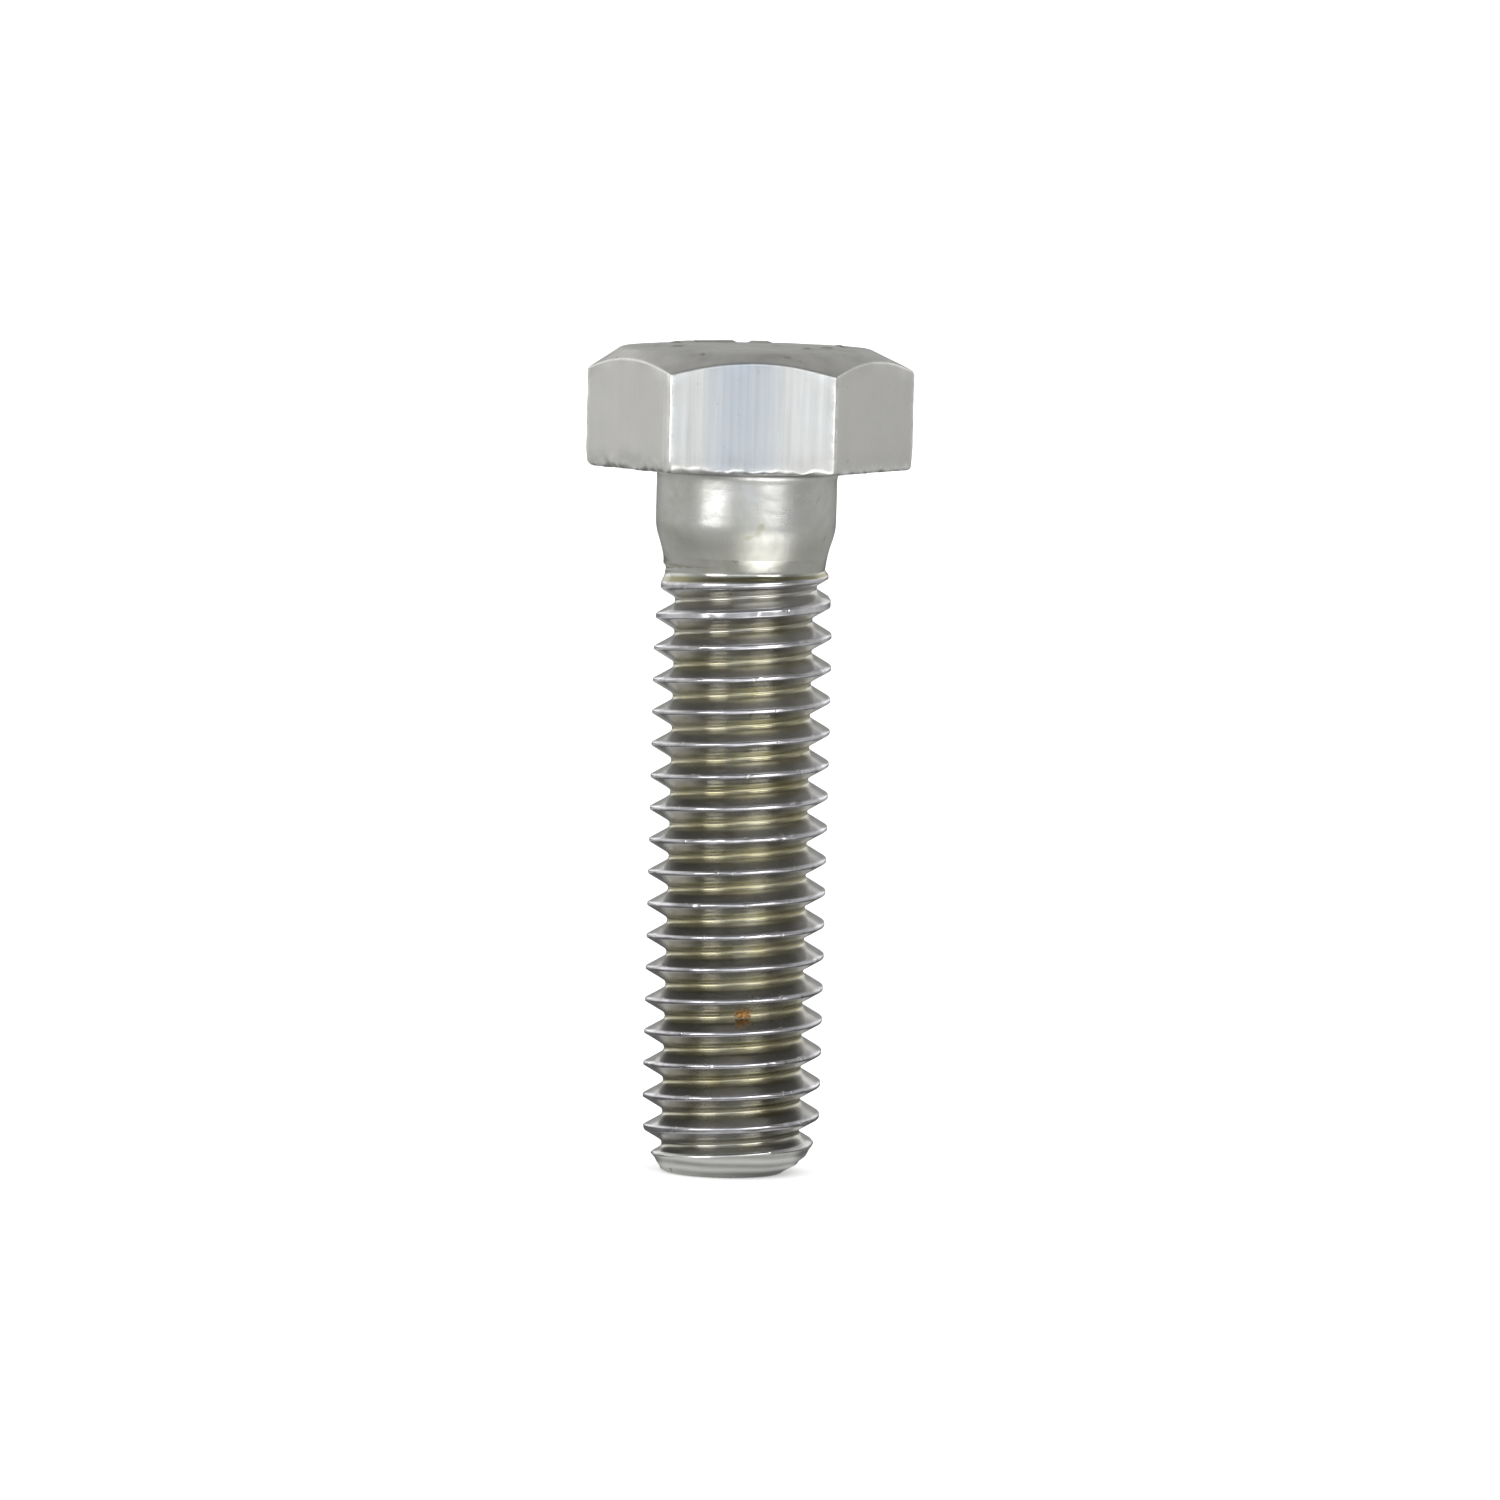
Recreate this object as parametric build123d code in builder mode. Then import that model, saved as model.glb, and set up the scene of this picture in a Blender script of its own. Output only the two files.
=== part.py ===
from build123d import *
from math import atan, ceil, cos, degrees, radians, tan
import os

# A hexagon head bolt, inch size 5/16-18 UNC. Lengths are in millimetres and angles in degrees.
# The origin is the centre of the bearing face under the head. The head stands up along +Z
# and the shank hangs down along -Z. Two flats of the hexagon face -Y and +Y.

# Head
width_across_flats = 12.45
head_height = 5.35
head_top_inset = 0.80
head_chamfer_angle = 30.0
head_rim_radius = 0.20
under_head_fillet = 0.35

# Shank: a full-size body, then a step down to the blank that the thread is rolled on
bolt_length = 31.1
body_diameter = 7.93
body_length = 2.55
body_taper_length = 1.55

# Thread: rolled, right hand, 60 degree flanks. Its crest and its blank are smaller than the body by
# the two allowances, taken off the diameter.
thread_pitch = 25.4 / 18
thread_flank_angle = 60.0
thread_crest_allowance = 0.10
thread_blank_allowance = 0.79
thread_root_fillet = 0.15
thread_growth_length = 2.80
thread_start_angle = 280.0
thread_fade_in_angle = 360.0

# End of the bolt: a chamfer below a slower lead-in cone, with both angles taken from the axis
end_face_inset = 0.38
end_chamfer_length = 0.80
end_chamfer_angle = 45.0
end_lead_in_angle = 21.0

# The groove's cutter stands this far outside the crest, and turns on this far past the end.
cutter_clearance = 0.08
cutter_extra_turns = 1.0

# The cone on the head is drawn out past the hexagon's corners.
head_top_radius = width_across_flats / 2 - head_top_inset
cone_base_radius = width_across_flats / cos(radians(30))
cone_base_height = head_height - (cone_base_radius - head_top_radius) * tan(radians(head_chamfer_angle))

# Radii of the shank
body_radius = body_diameter / 2
blank_radius = body_radius - thread_blank_allowance / 2
major_radius = body_radius - thread_crest_allowance / 2

# The thread's form: its flanks stop an eighth of a pitch apart at the crest and a little more at the root.
crest_width = thread_pitch * 0.125
root_width = thread_pitch * 0.151
flank_slope = tan(radians(thread_flank_angle / 2))
thread_depth = (thread_pitch - crest_width - root_width) / 2 / flank_slope
root_radius = major_radius - thread_depth
cutter_depth = thread_depth + cutter_clearance
cutter_width = root_width + 2 * cutter_depth * flank_slope

# Heights down the shank, and the radii of its end
body_end = -body_length
blank_start = body_end - body_taper_length
crest_full = blank_start - thread_growth_length
end_radius = root_radius - end_face_inset
chamfer_start = -bolt_length + end_chamfer_length
chamfer_radius = end_radius + end_chamfer_length * tan(radians(end_chamfer_angle))
lead_in_start = chamfer_start + (major_radius - chamfer_radius) / tan(radians(end_lead_in_angle))

# The groove fades in from just outside the blank, then runs on at full depth past the end.
fade_in_height = thread_pitch * thread_fade_in_angle / 360
fade_in_radius = blank_radius + cutter_clearance / 2
fade_in_taper = atan((fade_in_radius - root_radius) / fade_in_height)
full_depth_height = blank_start - fade_in_height
full_depth_angle = thread_start_angle - thread_fade_in_angle
turns_at_full_depth = ceil((full_depth_height + bolt_length) / thread_pitch + cutter_extra_turns)


def groove_cutter(bottom, start_angle, height, taper=0.0):
    # One length of the groove, rising from its bottom. With a taper it opens outwards as it rises.
    outward = Vector(1, 0, 0).rotate(Axis.Z, start_angle)
    section_plane = Plane(
        origin=outward * root_radius + Vector(0, 0, bottom),
        x_dir=outward,
        z_dir=outward.cross(Vector(0, 0, 1)),
    )
    with BuildLine() as helix:
        # The pitch of a tapered helix is measured along its cone.
        Helix(
            pitch=thread_pitch / cos(taper),
            height=height,
            radius=root_radius,
            cone_angle=degrees(taper),
        )
    route = Pos(0, 0, bottom) * Rot(0, 0, start_angle) * helix.line
    with BuildPart() as cutter:
        with BuildSketch(section_plane) as section:
            with BuildLine():
                Polyline(
                    (0, -root_width / 2),
                    (cutter_depth, -cutter_width / 2),
                    (cutter_depth, cutter_width / 2),
                    (0, root_width / 2),
                    close=True,
                )
            make_face()
            fillet(section.vertices().group_by(Axis.X)[0], radius=thread_root_fillet)
        sweep(path=route, is_frenet=True)
    return cutter.part


fade_in_cutter = groove_cutter(full_depth_height, full_depth_angle, fade_in_height, fade_in_taper)
one_turn_cutter = groove_cutter(full_depth_height - thread_pitch, full_depth_angle, thread_pitch)
full_depth_cutters = [
    Pos(0, 0, -turn * thread_pitch) * one_turn_cutter for turn in range(turns_at_full_depth)
]

with BuildPart() as hex_bolt:
    # Head: the hexagon, softened along its lower rim
    with BuildSketch():
        RegularPolygon(radius=width_across_flats / 2, side_count=6, major_radius=False)
    extrude(amount=head_height)
    fillet(hex_bolt.edges().group_by(Axis.Z)[0], radius=head_rim_radius)

    # Head: the cone that turns its top corners down
    with BuildSketch(Plane.XZ):
        with BuildLine():
            Polyline(
                (0, 0),
                (cone_base_radius, 0),
                (cone_base_radius, cone_base_height),
                (head_top_radius, head_height),
                (0, head_height),
                close=True,
            )
        make_face()
    revolve(axis=Axis.Z, mode=Mode.INTERSECT)

    # Shank: body, step down, blank, thread crest and the pointed end
    with BuildSketch(Plane.XZ):
        with BuildLine():
            Polyline(
                (0, head_height / 2),
                (body_radius, head_height / 2),
                (body_radius, body_end),
                (blank_radius, blank_start),
                (major_radius, crest_full),
                (major_radius, lead_in_start),
                (chamfer_radius, chamfer_start),
                (end_radius, -bolt_length),
                (0, -bolt_length),
                close=True,
            )
        make_face()
    revolve(axis=Axis.Z)
    under_head_corner = hex_bolt.edges().filter_by(GeomType.CIRCLE).filter_by_position(Axis.Z, -0.01, 0.01)
    fillet(under_head_corner, radius=under_head_fillet)

    # Thread
    add([fade_in_cutter, *full_depth_cutters], mode=Mode.SUBTRACT)

hex_bolt.part.label = "hex_bolt"
os.makedirs("parts", exist_ok=True)
export_step(hex_bolt.part, "parts/hex_bolt.step")
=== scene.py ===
import math

import bpy
from mathutils import Matrix, Vector, noise


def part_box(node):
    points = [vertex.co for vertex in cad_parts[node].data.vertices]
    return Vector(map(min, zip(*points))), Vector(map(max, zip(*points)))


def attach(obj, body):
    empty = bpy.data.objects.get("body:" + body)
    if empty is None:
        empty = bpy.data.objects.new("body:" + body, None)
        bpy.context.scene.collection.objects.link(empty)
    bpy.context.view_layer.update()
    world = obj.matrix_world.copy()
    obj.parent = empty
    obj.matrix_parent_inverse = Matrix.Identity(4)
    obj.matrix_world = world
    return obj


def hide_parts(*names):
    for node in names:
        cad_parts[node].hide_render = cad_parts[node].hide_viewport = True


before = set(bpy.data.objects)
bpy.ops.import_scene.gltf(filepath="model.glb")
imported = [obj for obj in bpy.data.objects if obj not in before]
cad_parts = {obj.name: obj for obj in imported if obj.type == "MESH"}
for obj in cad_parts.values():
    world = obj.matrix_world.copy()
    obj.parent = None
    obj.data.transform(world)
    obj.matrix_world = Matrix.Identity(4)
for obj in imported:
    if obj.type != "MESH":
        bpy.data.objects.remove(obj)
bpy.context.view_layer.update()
boltLow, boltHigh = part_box("hex_bolt")
mm = 0.001

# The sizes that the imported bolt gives: flats face -Y and +Y, the bearing face is at z = 0
acrossFlats = (boltHigh.y - boltLow.y) / mm
headHeight = boltHigh.z / mm
boltEnd = boltLow.z / mm
print("frame loaded: across flats, head and end", [round(v, 3) for v in (acrossFlats, headHeight, boltEnd)])


def smooth(a, b, x):
    t = min(1.0, max(0.0, (x - a) / (b - a)))
    return t * t * (3.0 - 2.0 * t)


def between(points, x):
    # Value at x on a line through (x, value) points that are listed with x falling
    if x >= points[0][0]:
        return points[0][1]
    for (xa, va), (xb, vb) in zip(points, points[1:]):
        if x >= xb:
            return va + (vb - va) * (xa - x) / (xa - xb)
    return points[-1][1]


def flowing(points, x):
    # The same list of points, but with a curve through them
    if x >= points[0][0] or x <= points[-1][0]:
        return between(points, x)
    for i in range(len(points) - 1):
        (xa, va), (xb, vb) = points[i], points[i + 1]
        if x >= xb:
            before = points[max(0, i - 1)]
            after = points[min(len(points) - 1, i + 2)]
            slopeA = (vb - before[1]) / (xb - before[0]) * (xb - xa)
            slopeB = (after[1] - va) / (after[0] - xa) * (xb - xa)
            t = (xa - x) / (xa - xb)
            return (
                va * (2 * t ** 3 - 3 * t ** 2 + 1) + slopeA * (t ** 3 - 2 * t ** 2 + t)
                + vb * (3 * t ** 2 - 2 * t ** 3) + slopeB * (t ** 3 - t ** 2)
            )


def softMin(a, b, k):
    # The smaller of two radii, rounded over where they meet
    h = max(k - abs(a - b), 0.0) / k
    return min(a, b) - h * h * k * 0.25


def rough(x, y, z, scale, seed):
    return noise.noise(Vector((x * scale + seed * 7.31, y * scale - seed * 3.17, z * scale + seed * 1.93)))


# Lengths in this and the next dictionaries are in millimetres
head = {
    "topRadius": acrossFlats / 2 - 0.80,
    "coneAngle": 30,
    "cornerRadius": 0.20,
    "topEdgeRadius": 0.70,
    "topOffset": 0.20,       # the top circle was trimmed this far towards -X
    "arcEdgeRadius": 0.14,
    "rimRadius": 0.24,
    "rimRadiusLeft": 0.36,
    "filletRadius": 0.42,
    "lean": 0.0094,          # the head sits a hair crooked on its shank, rising towards +X
    "shift": 0.05,
    "drop": -0.03,
    "topSwell": 0.018,       # unevenness of the forged top: broad, then fine
    "topGrain": 0.006,
    "topDip": 0.05,          # how far the top falls off towards the cone
    "topMargin": 0.22,       # from the last ring on top to the edge of the cone
    "dentDepth": 0.012,
    "rimRagged": (0.028, 0.024),
    "rimTuck": 0.035,
    "cornerRagged": 0.030,
    "undersideWave": 0.006,
    "columns": 56,           # per side of the hexagon
    "cornerColumns": 8,
    "topRows": 27,
    "topEdgeRows": 4,
    "coneRows": 6,
    "arcRows": 4,
    "flatRows": 12,
    "rimRows": 7,
    "filletRows": 6,
}

# How bright each edge of the head is made, from 0 to 1: wear, and on the rim a painted highlight as well
headWearAndSheen = {"bars": 0.9, "topEdge": 0.45, "arc": 0.28, "rim": 0.75}

shank = {
    "radius": 3.965,
    "profile": [
        (-0.40, 3.965), (-2.30, 3.962), (-2.60, 3.945), (-2.90, 3.885), (-3.20, 3.795), (-3.50, 3.700),
        (-3.80, 3.627), (-4.10, 3.572), (-4.40, 3.526), (-4.62, 3.502),
    ],
    "swell": 0.010,          # unevenness of the drawn metal: broad, then fine
    "grain": 0.0045,
    "rowStep": 0.175,
    "threadTop": -3.90,      # rows turn from rings into the helix here
}

thread = {
    "pitch": 25.4 / 18,
    "phase": -5.197,         # height of the groove's middle where it crosses +X
    "rootArc": 0.200,
    "depth": 0.885,
    "flankSlope": 1 / math.tan(math.radians(30)),
    "crestSoftness": 0.045,
    "fadeIn": [(420, 3.83), (280, 3.620), (180, 3.475), (0, 3.184), (-120, 3.060), (-180, 3.030)],
    # Crest radius by the turn of the groove below it, as an angle along the helix
    "crest": [
        (300, 3.555), (180, 3.585), (90, 3.640), (0, 3.690), (-180, 3.680), (-360, 3.815), (-540, 3.850),
        (-720, 3.890), (-900, 3.907), (-1260, 3.918),
    ],
    "crestEnd": [(-27.0, 0.0), (-28.5, -0.025), (-29.2, -0.070)],
    "halfRows": [0.0, 0.052, 0.098, 0.140, 0.22, 0.32, 0.43, 0.545, 0.600, 0.632],
    "nickDepth": 0.05,
    "wander": 0.010,         # the groove strays up and down by this
    "crestSwell": 0.012,
}

point = {
    "left": [
        (-29.2, 3.845), (-29.78, 3.665), (-30.33, 3.488), (-30.59, 3.285), (-30.85, 3.120), (-31.00, 3.060),
    ],
    "right": [
        (-29.2, 3.835), (-29.78, 3.640), (-30.15, 3.430), (-30.33, 3.310), (-30.51, 3.130), (-30.69, 2.915),
        (-30.88, 2.600), (-31.00, 2.380),
    ],
    "rimRow": -31.00,
    "finishTop": -29.75,
    "ringStep": 0.44,        # rings left by the turning tool
    "ringHeight": 0.016,
    # the end face, as (share of the rim's radius, height against the rim)
    "face": [(0.975, -0.045), (0.945, -0.075), (0.90, -0.090), (0.70, -0.085), (0.45, -0.07), (0.2, -0.065)],
    "faceMiddle": -0.06,
    "faceWave": 0.008,
    "faceWearAndSheen": 0.6,
}


def hexRadius(angle):
    # Distance from the axis to the side of the hexagon, with its corners rounded
    flat = acrossFlats / 2
    off = (math.degrees(angle) + 30.0) % 60.0 - 30.0     # corners are at 0, 60, 120 ...
    fromFlat = math.radians(30.0 - abs(off))
    plain = flat / math.cos(fromFlat)
    centre = (flat - head["cornerRadius"]) / math.cos(math.radians(30))
    away = math.radians(abs(off))
    inside = head["cornerRadius"] ** 2 - (centre * math.sin(away)) ** 2
    if inside <= 0:
        return plain
    rounded = centre * math.cos(away) + math.sqrt(inside)
    return min(plain, rounded)


def headAngles():
    # Columns gather round each corner and spread evenly along each side
    flat = acrossFlats / 2
    reach = (flat - head["cornerRadius"]) * math.tan(math.radians(30))
    edge = math.atan2(reach, flat)
    side = []
    sideColumns = head["columns"] - head["cornerColumns"]
    for i in range(sideColumns):
        along = -reach + 2 * reach * i / sideColumns
        side.append(math.radians(30) + math.atan2(along, flat))
    corner = math.radians(30) - edge
    half = head["cornerColumns"] // 2
    first = [corner * i / half for i in range(half)]
    last = [math.radians(60) - corner + corner * i / half for i in range(half)]
    sector = first + side + last
    return [a + math.radians(60) * k for k in range(6) for a in sector]


def leanHead(x, y, z, share):
    # Sets the whole head slightly crooked on the shank
    return (x + head["shift"] * share, y, z + (head["drop"] + head["lean"] * x) * share)


# Short raised bars on top of the head: where the middle is (degrees, radius), half length and half width
topBars = [
    {"angle": 112, "radius": 3.95, "halfLength": 0.95, "halfWidth": 0.22},
    {"angle": 82, "radius": 4.05, "halfLength": 0.42, "halfWidth": 0.20},
    {"angle": 138, "radius": 3.85, "halfLength": 0.55, "halfWidth": 0.20},
    {"angle": -22, "radius": 3.90, "halfLength": 0.55, "halfWidth": 0.22},
    {"angle": -44, "radius": 3.75, "halfLength": 0.34, "halfWidth": 0.22},
    {"angle": 4, "radius": 4.00, "halfLength": 0.30, "halfWidth": 0.22},
    {"angle": 205, "radius": 3.90, "halfLength": 0.80, "halfWidth": 0.22},
]
barHeight = 0.09


def barRise(angle, radius):
    rise = 0.0
    for bar in topBars:
        turn = math.degrees(angle) - bar["angle"]
        turn = (turn + 180.0) % 360.0 - 180.0
        along = math.radians(turn) * bar["radius"]
        across = radius - bar["radius"]
        out = max(abs(along) - bar["halfLength"], abs(across) - bar["halfWidth"])
        rise = max(rise, 1.0 - smooth(-0.06, 0.10, out))
    return rise


def headTopRow(angles, radius):
    row = []
    share = radius / head["topRadius"]
    for a in angles:
        x, y = radius * math.cos(a), radius * math.sin(a)
        x -= head["topOffset"] * share
        z = headHeight + barHeight * barRise(a, radius)
        z += head["topSwell"] * rough(x, y, 0, 0.55, 2) + head["topGrain"] * rough(x, y, 0, 2.2, 3)
        z -= head["topDip"] * smooth(0.75, 1.0, share)
        row.append((x, y, z))
    return row


def headSideRows(angles):
    # From the circle on top down the cone, over the arc edge, down the flat and round the lower rim
    columns = []
    topR, edgeR = head["topRadius"], head["topEdgeRadius"]
    cone = math.radians(head["coneAngle"])
    reach = edgeR * math.tan(cone / 2)
    flatStart = head["topEdgeRows"] + head["coneRows"] + head["arcRows"]
    for a in angles:
        ca, sa = math.cos(a), math.sin(a)
        side = hexRadius(a)
        wobble = 1.0 + 0.0030 * rough(ca * 7, sa * 7, 0, 0.35, 5)
        topHere = topR * (1.0 + 0.008 * rough(ca * 5, sa * 5, 0, 0.30, 6)) - head["topOffset"] * ca
        profile = []
        for i in range(1, head["topEdgeRows"] + 1):
            t = cone * i / head["topEdgeRows"]
            z = headHeight - head["topDip"] - edgeR * (1 - math.cos(t))
            profile.append((topHere - reach + edgeR * math.sin(t), z))

        # The arc edge, where the cone meets the flat
        arcR = head["arcEdgeRadius"] * (1.0 + 0.5 * rough(ca * 9, sa * 9, 0, 0.8, 7))
        arcReach = arcR * math.tan(math.radians(30))
        edgeZ = headHeight - 0.03 - (side - topR) * math.tan(cone)
        startR, startZ = profile[-1]
        stopR = side - arcReach * math.cos(cone)
        stopZ = edgeZ + arcReach * math.sin(cone)
        for i in range(1, head["coneRows"] + 1):
            u = i / head["coneRows"]
            profile.append((startR + (stopR - startR) * u, startZ + (stopZ - startZ) * u))
        centreR, centreZ = side - arcR, edgeZ - arcReach
        for i in range(1, head["arcRows"] + 1):
            t = math.radians(60 - 60 * i / head["arcRows"])
            profile.append((centreR + arcR * math.cos(t), centreZ + arcR * math.sin(t)))

        # The flat, and the rim, which is rounder on the left and uneven all round
        flatTop = centreZ - 0.04
        profile.append((side, flatTop))
        rimR = head["rimRadius"] + (head["rimRadiusLeft"] - head["rimRadius"]) * smooth(-0.3, 1.0, -ca)
        rimR *= 1.0 + 0.20 * rough(ca * 7, sa * 7, 0, 0.7, 8) + 0.70 * rough(ca * 7, sa * 7, 0, 2.4, 9)
        for i in range(1, head["flatRows"] + 1):
            v = 1.0 - (1.0 - i / head["flatRows"]) ** 1.5
            profile.append((side, flatTop + (rimR - flatTop) * v))
        for i in range(1, head["rimRows"] + 1):
            t = math.radians(90 * i / head["rimRows"])
            profile.append((side - rimR + rimR * math.cos(t), rimR - rimR * math.sin(t)))

        column = []
        fromCorner = abs((math.degrees(a) + 30.0) % 60.0 - 30.0)
        for i, (r, z) in enumerate(profile):
            dent = 0.0
            if i >= flatStart:
                x, y = r * ca, r * sa
                low = 1.0 - smooth(0.15, 1.1, z)
                broad, fine = head["rimRagged"]
                ragged = rough(x, y, z, 1.5, 12) * broad + rough(x, y, z, 3.1, 13) * fine
                nearCorner = 1.0 - smooth(0.3, 3.2, fromCorner)
                dent = head["dentDepth"] * rough(x, y, z, 0.7, 11)
                dent += low * ragged - head["rimTuck"] * low * low
                dent += nearCorner * (head["cornerRagged"] * rough(x, y, z, 1.7, 15) - 0.002)
            column.append(((r * wobble + dent) * ca, (r * wobble + dent) * sa, z))
        columns.append(column)
    return list(zip(*columns))


def waviness(angle, z):
    x, y = shank["radius"] * math.cos(angle), shank["radius"] * math.sin(angle)
    return shank["swell"] * rough(x, y, z, 0.45, 21) + shank["grain"] * rough(x, y, z * 2.2, 1.1, 22)


def ringWave(angle, z):
    # Rings left by the turning tool on the pointed end, from -1 in a valley to 1 on a ridge
    drift = 0.9 * rough(3 * math.cos(angle), 3 * math.sin(angle), z, 0.5, 42)
    return math.sin(2 * math.pi * z / point["ringStep"] + drift) * smooth(-29.5, -29.9, z)


def crestRadius(angle, z):
    # The blank, with the lip that the groove pushes up beside it; the lip grows into a full crest
    if z < -29.2:
        right = 0.5 + 0.5 * math.cos(angle)
        plain = flowing(point["left"], z) * (1 - right) + flowing(point["right"], z) * right
        return plain + point["ringHeight"] * ringWave(angle, z)
    blank = flowing(shank["profile"], z)
    turnedHere = (z - thread["phase"]) / thread["pitch"] * 360.0
    turns = math.floor((turnedHere - math.degrees(angle)) / 360.0)
    below = math.degrees(angle) + 360.0 * turns
    up = (turnedHere - below) / 360.0
    full = between(thread["crest"], below) + between(thread["crestEnd"], z)
    above = between(thread["crest"], below + 360.0) + between(thread["crestEnd"], z)
    late = smooth(20, -180, below)
    onlyBelow = 1.0 - smooth(0.36 + 0.12 * late, 0.56 + 0.28 * late, up)
    both = smooth(-150, -360, below)
    lip = blank + max(0.0, full - blank) * onlyBelow
    even = full + (above - full) * smooth(0.75, 1.0, up)
    return lip + (even - lip) * both


def grooveRadius(turned, offset):
    # Radius of the groove's surface at an offset from its middle; turned is its angle along the whole helix
    root = between(thread["fadeIn"], turned)
    arc = thread["rootArc"]
    side = abs(offset)
    join = arc * math.cos(math.radians(30))
    if side <= join:
        return root + arc - math.sqrt(arc * arc - side * side)
    rise = arc - arc * math.sin(math.radians(30))
    return root + rise + (side - join) * thread["flankSlope"]


def threadRadius(angle, z):
    pitch = thread["pitch"]
    turnedHere = (z - thread["phase"]) / pitch * 360.0
    nearest = round((turnedHere - math.degrees(angle)) / 360.0)
    crest = crestRadius(angle, z)
    grooves = []
    for k in (nearest - 1, nearest, nearest + 1):
        turned = math.degrees(angle) + 360.0 * k
        offset = (turnedHere - turned) / 360.0 * pitch
        grooves.append(grooveRadius(turned, offset))
    groove = min(grooves)
    r = softMin(crest, groove, thread["crestSoftness"])
    depth = min(1.0, max(0.0, (crest - r) / thread["depth"]))
    return r, depth, crest


def nick(x, y, z, r):
    # Small knocks on the crests
    spot = rough(x, y, z, 1.9, 31) * 0.6 + rough(x, y, z, 4.1, 32) * 0.4
    return thread["nickDepth"] * smooth(0.30, 0.52, spot) * smooth(3.70, 3.86, r)


def buildBolt():
    verts, faces, marks = [], [], []     # marks say which finish a face has
    groove, edge, shadeAndGrime = [], [], []      # masks for the finishes, point by point

    def addPoint(p, g=0.0, e=0.0, f=0.0):
        verts.append((p[0] * mm, p[1] * mm, p[2] * mm))
        groove.append(g)
        edge.append(e)
        shadeAndGrime.append(f)
        return len(verts) - 1

    def joinRows(a, b, finish):
        n = len(a)
        for i in range(n):
            j = (i + 1) % n
            faces.append((a[i], b[i], b[j], a[j]))
            marks.append(finish)

    fine = headAngles()
    coarse = fine[::2]

    # Head, from the middle of its top outwards and down
    centre = addPoint(leanHead(0, 0, headHeight + head["topSwell"] * rough(0, 0, 0, 0.55, 2), 1.0))
    previous = None
    innermost = 0.30
    outermost = head["topRadius"] - head["topMargin"]
    for i in range(head["topRows"]):
        radius = innermost + (outermost - innermost) * i / (head["topRows"] - 1)
        row = []
        for a, p in zip(fine, headTopRow(fine, radius)):
            rise = barRise(a, radius)
            barSlopes = 4.0 * rise * (1.0 - rise)     # darker on the slopes of a bar
            row.append(addPoint(leanHead(*p, 1.0), 0.0, headWearAndSheen["bars"] * rise, barSlopes))
        if previous is None:
            for k in range(len(row)):
                faces.append((centre, row[k], row[(k + 1) % len(row)]))
                marks.append(0)
        else:
            joinRows(previous, row, 0)
        previous = row
    sideRows = headSideRows(fine)
    arcStart = head["topEdgeRows"] + head["coneRows"]
    arcStop = arcStart + head["arcRows"]
    rimStart = len(sideRows) - head["rimRows"]
    for i, points in enumerate(sideRows):
        wearAndSheen = 0.0
        if i < head["topEdgeRows"]:
            wearAndSheen = headWearAndSheen["topEdge"]
        elif arcStart <= i < arcStop:
            wearAndSheen = headWearAndSheen["arc"]
        # Down the bottom of each flat and round the rim the colour brightens: partly wear, partly painted
        # highlight
        elif arcStop < i < rimStart:
            wearAndSheen = max(0.0, 0.8 - 0.3 * (rimStart - i))
        elif i >= rimStart:
            wearAndSheen = headWearAndSheen["rim"]
        row = []
        for a, p in zip(fine, points):
            fromCorner = abs((math.degrees(a) + 30.0) % 60.0 - 30.0)
            onCorner = 1.0 - smooth(0.5, 2.2, fromCorner) if i >= arcStart else 0.0
            row.append(addPoint(leanHead(*p, 1.0), 0.0, max(wearAndSheen, onCorner)))
        joinRows(previous, row, 0 if i < arcStart + 2 else 1)
        previous = row

    # Underside, then half as many columns from here down
    filletTop = shank["radius"] + head["filletRadius"]
    for share in (0.35, 0.75):
        row = []
        for a, last in zip(fine, sideRows[-1]):
            outer = math.hypot(last[0], last[1])
            r = outer + (filletTop + 0.5 - outer) * share
            x, y = r * math.cos(a), r * math.sin(a)
            row.append(addPoint(leanHead(x, y, head["undersideWave"] * rough(x, y, 0, 1.2, 14), 1.0)))
        joinRows(previous, row, 2)
        previous = row
    r = filletTop + 0.12
    row = [addPoint(leanHead(r * math.cos(a), r * math.sin(a), 0, 1.0)) for a in coarse]
    for i in range(len(coarse)):
        j = (i + 1) % len(coarse)
        f0, f1, f2 = previous[2 * i], previous[2 * i + 1], previous[(2 * i + 2) % len(previous)]
        faces.append((f0, row[i], f1))
        faces.append((f1, row[i], row[j]))
        faces.append((f1, row[j], f2))
        marks.extend((2, 2, 2))
    previous = row
    steps = head["filletRows"]
    for i in range(steps + 1):
        t = math.radians(90 * i / steps)
        r = filletTop - head["filletRadius"] * math.sin(t)
        z = -head["filletRadius"] + head["filletRadius"] * math.cos(t)
        row = []
        for a in coarse:
            row.append(addPoint(leanHead(r * math.cos(a), r * math.sin(a), z, 1.0 - i / steps)))
        joinRows(previous, row, 2)
        previous = row

    # Plain shank
    z = -head["filletRadius"] - shank["rowStep"]
    while z > shank["threadTop"] + 0.5 * shank["rowStep"]:
        row = []
        for a in coarse:
            r = flowing(shank["profile"], z) + waviness(a, z)
            row.append(addPoint((r * math.cos(a), r * math.sin(a), z)))
        joinRows(previous, row, 2)
        previous = row
        z -= shank["rowStep"]

    # Thread: rows follow the helix, and stop at a ring above and a ring below
    pitch, half = thread["pitch"], thread["halfRows"]
    offsets = [-pitch / 2] + [-h for h in reversed(half[1:])] + half
    offsets = [-o for o in offsets]      # falling
    perTurn = len(offsets)
    top, end = shank["threadTop"], point["rimRow"]
    firstTurn = int(math.ceil((top - thread["phase"]) / pitch)) + 2
    lastTurn = int(math.floor((end - thread["phase"]) / pitch)) - 2
    rowCount = (firstTurn - lastTurn) * perTurn
    grid = {}

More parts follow.
